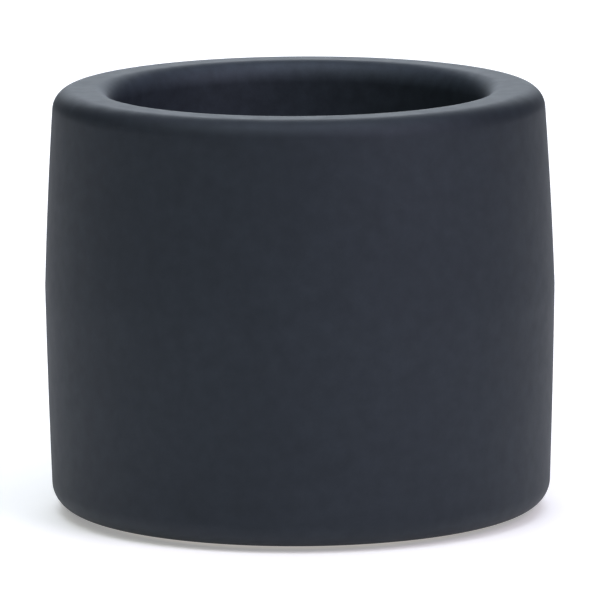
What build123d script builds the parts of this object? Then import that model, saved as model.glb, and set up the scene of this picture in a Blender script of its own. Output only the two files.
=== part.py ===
"""Empty candle jar: a thick cast stoneware pot, the matte glaze fused over it,
and a round cork pad stuck into the recess under its foot. Millimetres, Z up,
with the jar's axis on Z and the table it stands on at z = 0.
"""

from build123d import *

import os

# Form of the jar over its glaze
height = 75.0
widest_radius = 45.0
seam_z = 40.0  # the two halves of the casting mould part at the widest circle
shoulder_radius = 43.15  # the upper wall carried on to the rim's level
base_radius = 44.0  # the lower wall carried on to the underside
upper_swell = 0.17  # how far each half of the wall bows out from its chord
lower_swell = 0.10
mouth_radius = 32.8
floor_z = 9.5

# Rounded edges over the glaze
rim_outer_round = 3.7
lip_round_width = 3.2  # the inner edge is a quarter of an ellipse, taller than it is wide
lip_round_depth = 3.8
floor_round = 6.0
base_round = 4.5

# Glaze
glaze_thickness = 0.4
glaze_line_radius = 39.1  # the underside is bare inside this circle
glaze_edge_round = 0.25

# Bare foot ring round the recess that holds the pad
foot_z = 0.5  # the pad keeps the ring this far off the table
underside_z = 1.1  # unglazed underside, just above the ring
foot_radius = 38.5
foot_round = 0.4
recess_radius = 35.0
recess_top_z = 2.0
recess_corner_round = 0.6

# Pad and its adhesive film
pad_radius = 34.2
pad_edge_round = 0.3
adhesive_radius = 33.8
adhesive_thickness = 0.2
pad_thickness = recess_top_z - adhesive_thickness


def jar_section(inset):
    """Half of the jar's section, drawn this far inside its glazed surface."""
    mouth = mouth_radius + inset
    floor = floor_z - inset
    rim = height - inset
    shoulder = shoulder_radius - inset
    widest = widest_radius - inset
    base = base_radius - inset
    bottom = underside_z - glaze_thickness + inset
    lip_center = (mouth_radius + lip_round_width, height - lip_round_depth)
    lip_radii = (lip_round_width - inset, lip_round_depth - inset)
    rounds = (
        ((mouth, floor), floor_round + inset),
        ((shoulder, rim), rim_outer_round - inset),
        ((base, bottom), base_round - inset),
    )
    with BuildSketch() as section:
        with BuildLine():
            Polyline((mouth, lip_center[1]), (mouth, floor), (0, floor), (0, bottom), (base, bottom))
            SagittaArc((base, bottom), (widest, seam_z), -lower_swell)
            SagittaArc((widest, seam_z), (shoulder, rim), -upper_swell)
            Line((shoulder, rim), (lip_center[0], rim))
            EllipticalCenterArc(lip_center, *lip_radii, start_angle=90, arc_size=90)
        make_face()
        for corner, radius in rounds:
            fillet(section.vertices().sort_by_distance(corner)[0], radius)
    return section.sketch_local


def edges_at(part, z, radius, slack=0.01):
    """The part's circular edge at this height and of this radius."""
    circles = part.edges().filter_by(GeomType.CIRCLE).filter_by_position(Axis.Z, z - slack, z + slack)
    return circles.filter_by(lambda edge: abs(edge.radius - radius) < slack)


# Stoneware pot: thick wall, flat floor, foot ring and recess
with BuildPart() as jar_body:
    with BuildSketch(Plane.XZ):
        add(jar_section(glaze_thickness))
    revolve(axis=Axis.Z)
    with BuildSketch(Plane.XY.offset(foot_z)):
        Circle(foot_radius)
    extrude(amount=underside_z - foot_z)
    with BuildSketch(Plane.XY.offset(foot_z)):
        Circle(recess_radius)
    extrude(amount=recess_top_z - foot_z, mode=Mode.SUBTRACT)
    fillet(edges_at(jar_body, recess_top_z, recess_radius), recess_corner_round)
    foot_edges = edges_at(jar_body, foot_z, foot_radius) + edges_at(jar_body, foot_z, recess_radius)
    fillet(foot_edges, foot_round)
jar_body.part.label = "jar_body"

# Matte glaze: one skin over the outside, the rim, the wall inside and the floor
with BuildPart() as matte_glaze:
    with BuildSketch(Plane.XZ) as skin:
        add(jar_section(0))
        add(jar_section(glaze_thickness), mode=Mode.SUBTRACT)
        with Locations((0, underside_z)):
            Rectangle(
                glaze_line_radius,
                underside_z,
                align=(Align.MIN, Align.MAX),
                mode=Mode.SUBTRACT,
            )
        glaze_edge = (glaze_line_radius, underside_z - glaze_thickness)
        fillet(skin.vertices().sort_by_distance(glaze_edge)[0], glaze_edge_round)
    revolve(axis=Axis.Z)
matte_glaze.part.label = "matte_glaze"

# Cork pad: a punched disc, its lower edge eased
with BuildPart() as cork_pad:
    with BuildSketch():
        Circle(pad_radius)
    extrude(amount=pad_thickness)
    fillet(cork_pad.edges().sort_by(Axis.Z)[0], pad_edge_round)
cork_pad.part.label = "cork_pad"

# Adhesive film between the pad and the top of the recess
with BuildPart() as pad_adhesive:
    with BuildSketch(Plane.XY.offset(pad_thickness)):
        Circle(adhesive_radius)
    extrude(amount=adhesive_thickness)
pad_adhesive.part.label = "pad_adhesive"

os.makedirs("parts", exist_ok=True)
for piece in (jar_body, matte_glaze, cork_pad, pad_adhesive):
    export_step(piece.part, f"parts/{piece.part.label}.step")
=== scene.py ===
"""The looks of an empty candle jar: matte slate glaze over cast stoneware, with a cork pad under
its foot. Lengths are in metres. The glaze, the pot and the pad are rebuilt as finer meshes in the
places of their CAD nodes. The film that holds the pad keeps its mesh and gets a better material.
"""

import math

import bmesh
import bpy
from mathutils import Matrix, Vector, noise


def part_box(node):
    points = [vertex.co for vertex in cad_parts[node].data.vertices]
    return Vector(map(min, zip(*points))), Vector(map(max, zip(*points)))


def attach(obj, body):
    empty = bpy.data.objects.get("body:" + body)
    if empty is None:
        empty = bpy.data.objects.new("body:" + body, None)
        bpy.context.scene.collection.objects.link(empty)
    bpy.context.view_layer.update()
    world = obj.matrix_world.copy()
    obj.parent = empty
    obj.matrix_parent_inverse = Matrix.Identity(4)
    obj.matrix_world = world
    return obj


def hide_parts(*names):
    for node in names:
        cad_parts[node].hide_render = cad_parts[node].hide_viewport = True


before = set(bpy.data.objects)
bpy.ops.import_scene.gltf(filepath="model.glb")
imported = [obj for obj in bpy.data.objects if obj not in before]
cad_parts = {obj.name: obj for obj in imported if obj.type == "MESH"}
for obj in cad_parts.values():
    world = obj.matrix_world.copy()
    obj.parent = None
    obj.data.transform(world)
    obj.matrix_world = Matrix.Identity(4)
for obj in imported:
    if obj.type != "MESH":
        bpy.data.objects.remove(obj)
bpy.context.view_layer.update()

MM = 0.001
TURN = 2 * math.pi

# Places read from the frame
glaze_low, glaze_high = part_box("matte_glaze")
body_low, body_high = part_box("jar_body")
pad_low, pad_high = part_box("cork_pad")
film_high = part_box("pad_adhesive")[1]

top_z = glaze_high.z
underside_z = glaze_low.z
widest_radius = glaze_high.x
glaze_thickness = top_z - body_high.z

# Form over the glaze
seam_z = 40.0 * MM
shoulder_radius = widest_radius - 1.85 * MM
base_radius = widest_radius - 1.0 * MM
upper_swell = 0.17 * MM
lower_swell = 0.10 * MM
mouth_radius = 32.8 * MM
floor_z = 9.5 * MM
rim_outer_round = 3.7 * MM
lip_round_width = 3.2 * MM
lip_round_depth = 3.8 * MM
floor_round = 6.0 * MM
base_round = 4.5 * MM
glaze_line_radius = 39.1 * MM
glaze_edge_round = 0.25 * MM

# Foot and pad
pot_clearance = 0.02 * MM  # between the pot's surface and the inner face of the glaze
foot_z = body_low.z
foot_radius = 38.5 * MM
foot_round = 0.4 * MM
body_underside_z = underside_z + glaze_thickness
recess_radius = 35.0 * MM
recess_top_z = film_high.z
recess_corner_round = 0.6 * MM
pad_edge_round = 0.3 * MM

# How finely the outlines and the meshes are divided
SEGMENTS = 288  # round the axis
COAT_ROWS = 24  # along each wall and the floor, on the glaze's outer face
POT_ROWS = 12  # the same on the faces under it
UNDERSIDE_ROWS = 4
RIM_ROWS = 8
RECESS_ROWS = 12
PAD_ROWS = 90
PAD_SIDE_ROWS = 4
LARGE_EDGE_STEPS = 18
LIP_STEPS = 20
FLOOR_EDGE_STEPS = 16
SMALL_EDGE_STEPS = 8
PAD_EDGE_STEPS = 6
ON_AXIS = 1e-7


# ---------------------------------------------------------------- outlines

def arc(center, radii, start, end, steps):
    """Points on an ellipse from one angle to another, in degrees."""
    points = []
    for i in range(steps + 1):
        a = math.radians(start + (end - start) * i / steps)
        points.append((center[0] + radii[0] * math.cos(a), center[1] + radii[1] * math.sin(a)))
    return points


def line(start, end, steps):
    """Evenly spaced points from start to end, without the last."""
    return [
        (start[0] + (end[0] - start[0]) * i / steps, start[1] + (end[1] - start[1]) * i / steps)
        for i in range(steps)
    ]


def fillet(before, corner, after, radius, steps):
    """The arc of this radius that rounds the corner between two straight ways."""
    a, b, c = Vector(before), Vector(corner), Vector(after)
    way_in, way_out = (a - b).normalized(), (c - b).normalized()
    half = way_in.angle(way_out) / 2
    center = b + (way_in + way_out).normalized() * (radius / math.sin(half))
    first = b + way_in * (radius / math.tan(half)) - center
    side = 1 if way_in.to_3d().cross(way_out.to_3d()).z < 0 else -1
    sweep = side * (math.pi - 2 * half)
    points = []
    for i in range(steps + 1):
        spun = Matrix.Rotation(sweep * i / steps, 2) @ first
        points.append((center.x + spun.x, center.y + spun.y))
    return points


def wall(inset):
    """Radius of the outer wall at a height, as a function, this far inside the glaze's surface."""
    def bowed(low, high, swell, t):
        return low + (high - low) * t + 4 * swell * t * (1 - t) - inset

    def radius(z):
        if z < seam_z:
            t = (z - underside_z) / (seam_z - underside_z)
            return bowed(base_radius, widest_radius, lower_swell, t)
        t = (z - seam_z) / (top_z - seam_z)
        return bowed(widest_radius, shoulder_radius, upper_swell, t)
    return radius


def outside(inset, start_radius, rows):
    """The outline from the underside, up the wall and over the rim to the start of the inner lip."""
    radius = wall(inset)
    bottom, top = underside_z + inset, top_z - inset
    base_corner, rim_corner = (radius(bottom), bottom), (radius(top), top)
    step = 2.0 * MM  # far enough along the wall to give its slope at a corner
    above_base = (radius(bottom + step), bottom + step)
    below_rim = (radius(top - step), top - step)
    base_arc = fillet((0, bottom), base_corner, above_base, base_round - inset, LARGE_EDGE_STEPS)
    rim_arc = fillet(below_rim, rim_corner, (0, top), rim_outer_round - inset, LARGE_EDGE_STEPS)
    low, high = base_arc[-1][1], rim_arc[0][1]
    heights = [low + (seam_z - low) * i / rows for i in range(1, rows + 1)]
    heights += [seam_z + (high - seam_z) * i / rows for i in range(1, rows)]
    points = line((start_radius, bottom), base_arc[0], UNDERSIDE_ROWS) + base_arc
    points += [(radius(z), z) for z in heights]
    points += rim_arc
    lip_start = (mouth_radius + lip_round_width, top)
    points += line(rim_arc[-1], lip_start, RIM_ROWS)[1:]
    return points


def inside(inset, rows):
    """The outline from the top of the inner lip down the wall and across the floor to the axis."""
    lip_center = (mouth_radius + lip_round_width, top_z - lip_round_depth)
    lip_radii = (lip_round_width - inset, lip_round_depth - inset)
    lip = arc(lip_center, lip_radii, 90, 180, LIP_STEPS)
    corner_center = (mouth_radius - floor_round, floor_z + floor_round)
    corner = arc(corner_center, (floor_round + inset,) * 2, 0, -90, FLOOR_EDGE_STEPS)
    middle = (0, floor_z - inset)
    points = lip + line(lip[-1], corner[0], rows)[1:]
    points += corner + line(corner[-1], middle, rows)[1:] + [middle]
    return points


# ---------------------------------------------------------------- meshes

def lathe(name, outline, unevenness):
    """A mesh turned from an outline that starts and ends on the axis or joins up with itself."""
    mesh = bmesh.new()
    rings = []
    for radius, z in outline:
        if radius < ON_AXIS:
            rings.append([mesh.verts.new((0, 0, z))])
            continue
        ring = []
        for j in range(SEGMENTS):
            a = TURN * j / SEGMENTS
            point = Vector((radius * math.cos(a), radius * math.sin(a), z))
            ring.append(mesh.verts.new(unevenness(point)))
        rings.append(ring)
    pairs = list(zip(rings, rings[1:]))
    if len(rings[0]) > 1 and len(rings[-1]) > 1:
        pairs.append((rings[-1], rings[0]))
    for lower, upper in pairs:
        for j in range(SEGMENTS):
            k = (j + 1) % SEGMENTS
            corners = [lower[j % len(lower)], lower[k % len(lower)]]
            corners += [upper[k % len(upper)], upper[j % len(upper)]]
            corners = list(dict.fromkeys(corners))
            if len(corners) > 2:
                mesh.faces.new(corners)
    bmesh.ops.recalc_face_normals(mesh, faces=mesh.faces)
    data = bpy.data.meshes.new(name)
    mesh.to_mesh(data)
    mesh.free()
    data.shade_smooth()
    piece = bpy.data.objects.new(name, data)
    bpy.context.scene.collection.objects.link(piece)
    return piece


def cast_unevenness(point):
    """Slow waviness of a cast and glazed wall, always inwards from the true outline."""
    wave_depth, waves_per_metre, upright_stretch = 0.020 * MM, 38, 0.6
    drift_depth, drift_round, drift_up = 0.025 * MM, 1.3, 9
    radial = Vector((point.x, point.y, 0))
    if radial.length < mouth_radius + lip_round_width:
        return point
    spot = Vector((point.x, point.y, point.z * upright_stretch)) * waves_per_metre
    waves = noise.noise(spot + Vector((3.1, 7.7, 1.9)))
    drift = noise.noise(radial.normalized() * drift_round + Vector((11.0, 4.0, point.z * drift_up)))
    sink = wave_depth * (1 + waves) + drift_depth * (1 + drift)
    return point - radial.normalized() * sink


def glaze_coat():
    """The glaze as a closed skin: outer face over the whole jar, inner face on the stoneware."""
    outer = outside(0, glaze_line_radius, COAT_ROWS) + inside(0, COAT_ROWS)[1:]
    inner = outside(glaze_thickness, glaze_line_radius, POT_ROWS)
    inner += inside(glaze_thickness, POT_ROWS)[1:]
    edge_center = (glaze_line_radius + glaze_edge_round, underside_z + glaze_edge_round)
    rolled = arc(edge_center, (glaze_edge_round,) * 2, 180, 270, SMALL_EDGE_STEPS)
    return lathe("glaze_coat", rolled + outer[1:] + inner[::-1], cast_unevenness)


def stoneware_pot():
    """The pot under the glaze, with its bare foot ring and the recess for the pad."""
    inset = glaze_thickness + pot_clearance
    recess_middle, recess_edge = (0, recess_top_z), (recess_radius, recess_top_z)
    foot_inner, foot_outer = (recess_radius, foot_z), (foot_radius, foot_z)
    ring_inner, ring_outer = (recess_radius, body_underside_z), (foot_radius, body_underside_z)
    corner = fillet(recess_middle, recess_edge, foot_inner, recess_corner_round, SMALL_EDGE_STEPS)
    under = [recess_middle] + line((recess_radius / 30, recess_top_z), corner[0], RECESS_ROWS) + corner
    under += fillet(ring_inner, foot_inner, foot_outer, foot_round, SMALL_EDGE_STEPS)
    under += fillet(foot_inner, foot_outer, ring_outer, foot_round, SMALL_EDGE_STEPS)
    under += [ring_outer]
    bare_strip = outside(inset, foot_radius, POT_ROWS)[1:]
    bare_strip = [(r, max(z, body_underside_z)) for r, z in bare_strip]
    return lathe("stoneware_pot", under + bare_strip + inside(inset, POT_ROWS)[1:], cast_unevenness)


def cork_disc():
    """The punched pad: its underside has the shallow pits between the cork granules."""
    radius = pad_high.x
    low, high = pad_low.z, pad_high.z
    rounding = fillet((0, low), (radius, low), (radius, high), pad_edge_round, PAD_EDGE_STEPS)
    outline = [(0, low)] + line((radius / PAD_ROWS, low), rounding[0], PAD_ROWS) + rounding
    outline += line(rounding[-1], (radius, high), PAD_SIDE_ROWS)[1:]
    outline += [(radius, high), (radius * 0.5, high), (0, high)]

    def pits(point):
        granules_per_metre, gap_width, pit_depth = 420, 0.12, 0.9 * MM
        stuck_depth = 0.2 * MM  # the pad is smooth this close to its film
        if point.z > high - stuck_depth:
            return point
        nearest, second = noise.voronoi(point * granules_per_metre)[0][:2]
        pit = max(0.0, gap_width - (second - nearest)) * pit_depth
        if point.z < low + pad_edge_round / 2:
            point.z += pit
        else:
            point.xy *= 1 - pit / radius
        return point

    return lathe("cork_disc", outline, pits)


# ---------------------------------------------------------------- materials

class Nodes:
    """A material's node tree, with short calls to add and join nodes."""

    def __init__(self, name):
        self.material = bpy.data.materials.new(name)
        self.material.use_nodes = True
        self.tree = self.material.node_tree
        self.shader = self.tree.nodes["Principled BSDF"]
        self.place = self.add("ShaderNodeTexCoord").outputs["Object"]

    def join(self, node, key, value):
        """Link a socket to one of the node's inputs, or set the input to a plain value."""
        if isinstance(value, bpy.types.NodeSocket):
            self.tree.links.new(value, node.inputs[key])
        else:
            node.inputs[key].default_value = value

    def add(self, kind, inputs=None, **settings):
        node = self.tree.nodes.new(kind)
        for key, value in settings.items():
            setattr(node, key, value)
        for key, value in (inputs or {}).items():
            self.join(node, key, value)
        return node

    def vector(self, operation, first, second=None):
        """A vector sum, product or length."""
        inputs = {0: first} if second is None else {0: first, 1: second}
        node = self.add("ShaderNodeVectorMath", inputs, operation=operation)
        return node.outputs["Value" if operation == "LENGTH" else "Vector"]

    def noise(self, size, detail=2.0, roughness=0.5, output="Fac"):
        """Noise whose features are about this long, from 0 to 1."""
        node = self.add(
            "ShaderNodeTexNoise",
            {"Vector": self.place, "Scale": 1 / size, "Detail": detail, "Roughness": roughness},
        )
        return node.outputs[output]

    def spread(self, value, low, high, start=0.3, end=0.7):
        """A value carried from start..end to low..high."""
        node = self.add(
            "ShaderNodeMapRange",
            {"Value": value, "From Min": start, "From Max": end, "To Min": low, "To Max": high},
        )
        return node.outputs["Result"]

    def blend(self, factor, first, second, kind="MIX"):
        node = self.add("ShaderNodeMix", {0: factor}, data_type="RGBA", blend_type=kind)
        for socket, value in ((6, first), (7, second)):
            self.join(node, socket, (*value, 1) if isinstance(value, tuple) else value)
        return node.outputs[2]

    def multiply(self, first, second):
        return self.blend(1.0, first, second, kind="MULTIPLY")

    def shade(self, factor, share):
        """A grey that runs from this share under white to the same share over it."""
        return self.blend(factor, (1 - share,) * 3, (1 + share,) * 3)

    def bump(self, height, distance, strength=1.0, under=None):
        inputs = {"Height": height, "Distance": distance, "Strength": strength}
        if under:
            inputs["Normal"] = under
        return self.add("ShaderNodeBump", inputs).outputs["Normal"]

    def finish(self, **sockets):
        for key, value in sockets.items():
            self.join(self.shader, key.replace("_", " "), value)
        return self.material


def slate_glaze():
    """Matte slate glaze: nearly even, with faint clouds and mottling, a fine silky grain and no
    sparkle. Inside the jar the colour is made paler as painted light, standing in for light that falls
    inside it, so the inside looks lighter than the rim and the outside.
    """
    deep, light = (0.0080, 0.0106, 0.0141), (0.0098, 0.0128, 0.0168)
    # painted light: how much paler the colour is made inside the jar, standing in for light falling
    # inside
    painted_inside_light_gain = 2.2
    n = Nodes("slate_glaze")
    clouds = n.spread(n.noise(26 * MM, detail=3), 0, 1)
    grain = n.spread(n.noise(0.35 * MM, detail=2), 0, 1)
    mottle = n.spread(n.noise(2.4 * MM, detail=3), 0, 1)
    color = n.blend(clouds, deep, light)
    color = n.multiply(color, n.multiply(n.shade(grain, 0.07), n.shade(mottle, 0.21)))
    radius = n.vector("LENGTH", n.vector("MULTIPLY", n.place, (1, 1, 0)))
    # painted light: mask for the inside of the jar, where the colour is made paler to stand in for
    # light falling inside
    inner = n.spread(radius, 1, 0, mouth_radius + 1.2 * MM, mouth_radius + lip_round_width)
    color = n.blend(inner, color, n.multiply(color, (painted_inside_light_gain,) * 3))
    roughness = n.spread(n.noise(3 * MM, detail=3), 0.60, 0.65)
    silk = n.bump(n.noise(0.6 * MM, detail=2), 0.012 * MM, 0.6)
    return n.finish(
        Base_Color=color, Roughness=roughness, Normal=silk, IOR=1.45, Specular_Tint=(0.74, 0.85, 1, 1)
    )


def bare_stoneware():
    """Unglazed foot: warm grey clay with dark grog in it."""
    dark_clay, pale_clay, grog = (0.31, 0.26, 0.21), (0.39, 0.34, 0.28), (0.10, 0.08, 0.065)
    n = Nodes("bare_stoneware")
    clay = n.blend(n.spread(n.noise(6 * MM, detail=4), 0, 1), dark_clay, pale_clay)
    cells = n.add("ShaderNodeTexVoronoi", {"Vector": n.place, "Scale": 1 / (0.9 * MM)})
    speck = n.spread(cells.outputs["Distance"], 0.75, 0, start=0.05, end=0.22)
    sand = n.noise(0.30 * MM, detail=3, roughness=0.7)
    return n.finish(
        Base_Color=n.blend(speck, clay, grog),
        Roughness=n.spread(sand, 0.82, 0.95),
        Normal=n.bump(sand, 0.06 * MM, 0.8),
    )


def cork():
    """Pressed cork: pale and brown granules, a few of dark bark, with thin gaps between them."""
    brown, pale, bark = (0.36, 0.215, 0.115), (0.53, 0.35, 0.205), (0.15, 0.075, 0.038)
    fleck_brown, gap_brown = (0.26, 0.145, 0.075), (0.12, 0.065, 0.035)
    granule_size, bend_size, bend_length = 1.7 * MM, 1.2 * MM, 1.1 * MM
    n = Nodes("cork")
    shift = n.vector("MULTIPLY", n.noise(bend_size, detail=3, output="Color"), (bend_length,) * 3)
    bent = {"Vector": n.vector("ADD", n.place, shift), "Scale": 1 / granule_size}
    cells = n.add("ShaderNodeTexVoronoi", bent)
    edge = n.add("ShaderNodeTexVoronoi", bent, feature="DISTANCE_TO_EDGE").outputs["Distance"]
    pick = n.add("ShaderNodeSeparateColor", {"Color": cells.outputs["Color"]}).outputs
    color = n.blend(n.spread(pick["Red"], 0, 1, start=0.1, end=0.9), brown, pale)
    color = n.blend(n.spread(pick["Green"], 0, 1, start=0.86, end=0.92), color, bark)
    fleck = n.spread(n.noise(0.30 * MM, detail=3, roughness=0.7), 0, 1, start=0.55, end=0.72)
    color = n.blend(fleck, color, fleck_brown)
    gap = n.spread(edge, 0.8, 0, start=0.0, end=0.10)
    openness = n.spread(n.noise(2.5 * MM), 0.25, 1)
    open_gap = n.add("ShaderNodeMath", {0: gap, 1: openness}, operation="MULTIPLY").outputs[0]
    color = n.blend(open_gap, color, gap_brown)
    crumb = n.bump(n.noise(0.22 * MM, detail=3, roughness=0.7), 0.05 * MM, 0.8)
    rounded = n.spread(edge, 0, 1, start=0.0, end=0.16)
    relief = n.bump(rounded, 0.07 * MM, 0.9, under=crumb)
    roughness = n.spread(pick["Blue"], 0.80, 0.93, start=0, end=1)
    return n.finish(Base_Color=color, Roughness=roughness, Normal=relief)


def adhesive():
    """The pad's film: milky, slightly tacky acrylic with a fibrous backing."""
    dull, milky = (0.62, 0.60, 0.54), (0.74, 0.72, 0.66)
    n = Nodes("adhesive_film")
    fibres = n.noise(1.2 * MM, detail=4)
    return n.finish(
        Base_Color=n.blend(n.spread(fibres, 0, 1), dull, milky),
        Roughness=n.spread(fibres, 0.35, 0.5),
        Normal=n.bump(fibres, 0.03 * MM),
    )


# ---------------------------------------------------------------- the pieces

def place(piece, node, material):
    """The piece stands for a CAD node, rides with the jar and wears this material."""
    piece.data.materials.append(material)
    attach(piece, "root")
    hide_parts(node)


place(glaze_coat(), "matte_glaze", slate_glaze())
place(stoneware_pot(), "jar_body", bare_stoneware())
place(cork_disc(), "cork_pad", cork())
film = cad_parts["pad_adhesive"]
film.data.materials.clear()
film.data.materials.append(adhesive())


# ---------------------------------------------------------------- studio

def pale_floor():
    """A plain floor, seen only from above, so that the underside can be looked at too."""
    bpy.ops.mesh.primitive_plane_add(size=12.0, location=(0, 0, 0))
    floor = bpy.context.object
    floor.name = "floor"
    n = Nodes("floor")
    n.finish(
        Base_Color=(0.9, 0.9, 0.9, 1), Roughness=0.9, Emission_Color=(1, 1, 1, 1), Emission_Strength=0.3
    )
    side = n.add("ShaderNodeNewGeometry").outputs["Backfacing"]
    clear = n.add("ShaderNodeBsdfTransparent").outputs[0]
    mixed = n.add("ShaderNodeMixShader", {0: side, 1: n.shader.outputs[0], 2: clear}).outputs[0]
    n.tree.links.new(mixed, n.tree.nodes["Material Output"].inputs["Surface"])
    floor.data.materials.append(n.material)


def softbox(name, azimuth, elevation, size, power, tint):
    """An area light that faces the jar. Azimuth 0 is on the camera's side, 90 to its right."""
    distance = 1.5
    a, e = math.radians(azimuth), math.radians(elevation)
    aim = Vector((0, 0, top_z / 2))
    way = Vector((math.sin(a) * math.cos(e), -math.cos(a) * math.cos(e), math.sin(e)))
    light = bpy.data.lights.new(name, "AREA")
    light.shape = "RECTANGLE"
    light.size, light.size_y = size
    light.energy = power
    light.color = tint
    lamp = bpy.data.objects.new(name, light)
    lamp.location = aim + way * distance
    lamp.rotation_mode = "QUATERNION"
    lamp.rotation_quaternion = way.to_track_quat("Z", "Y")
    bpy.context.scene.collection.objects.link(lamp)


def studio_air(strength):
    """Even white light from all round."""
    world = bpy.data.worlds.new("studio")
    bpy.context.scene.world = world
    world.use_nodes = True
    background = world.node_tree.nodes["Background"]
    background.inputs["Color"].default_value = (1, 1, 1, 1)
    background.inputs["Strength"].default_value = strength


def camera():
    """The view: a long lens, a little above the rim, aimed at the middle of the jar."""
    distance = 1.375
    pitch = 0.1665
    tilt = -0.0064
    aim = Vector((0, 0, 37.03 * MM))
    data = bpy.data.cameras.new("camera")
    data.sensor_width = 36.0
    data.lens = 473.7
    data.dof.use_dof = False
    view = bpy.data.objects.new("camera", data)
    view.location = aim + Vector((0, -distance, distance * math.tan(pitch)))
    view.rotation_mode = "QUATERNION"
    look = (view.location - aim).to_track_quat("Z", "Y").to_matrix()
    view.rotation_quaternion = (look @ Matrix.Rotation(tilt, 3, "Z")).to_quaternion()
    bpy.context.scene.collection.objects.link(view)
    bpy.context.scene.camera = view


pale_floor()
studio_air(0.02)
softbox("left", azimuth=-40, elevation=54, size=(1.0, 1.0), power=4.6, tint=(0.98, 1.0, 0.84))
softbox("top", azimuth=0, elevation=85, size=(1.4, 1.4), power=19.0, tint=(0.84, 0.88, 1.0))
softbox("right", azimuth=50, elevation=35, size=(0.8, 1.2), power=12.2, tint=(0.97, 0.86, 1.0))
softbox("back", azimuth=180, elevation=22, size=(1.1, 0.8), power=11.3, tint=(0.85, 0.92, 1.0))
camera()
bpy.context.scene.view_settings.view_transform = "Standard"
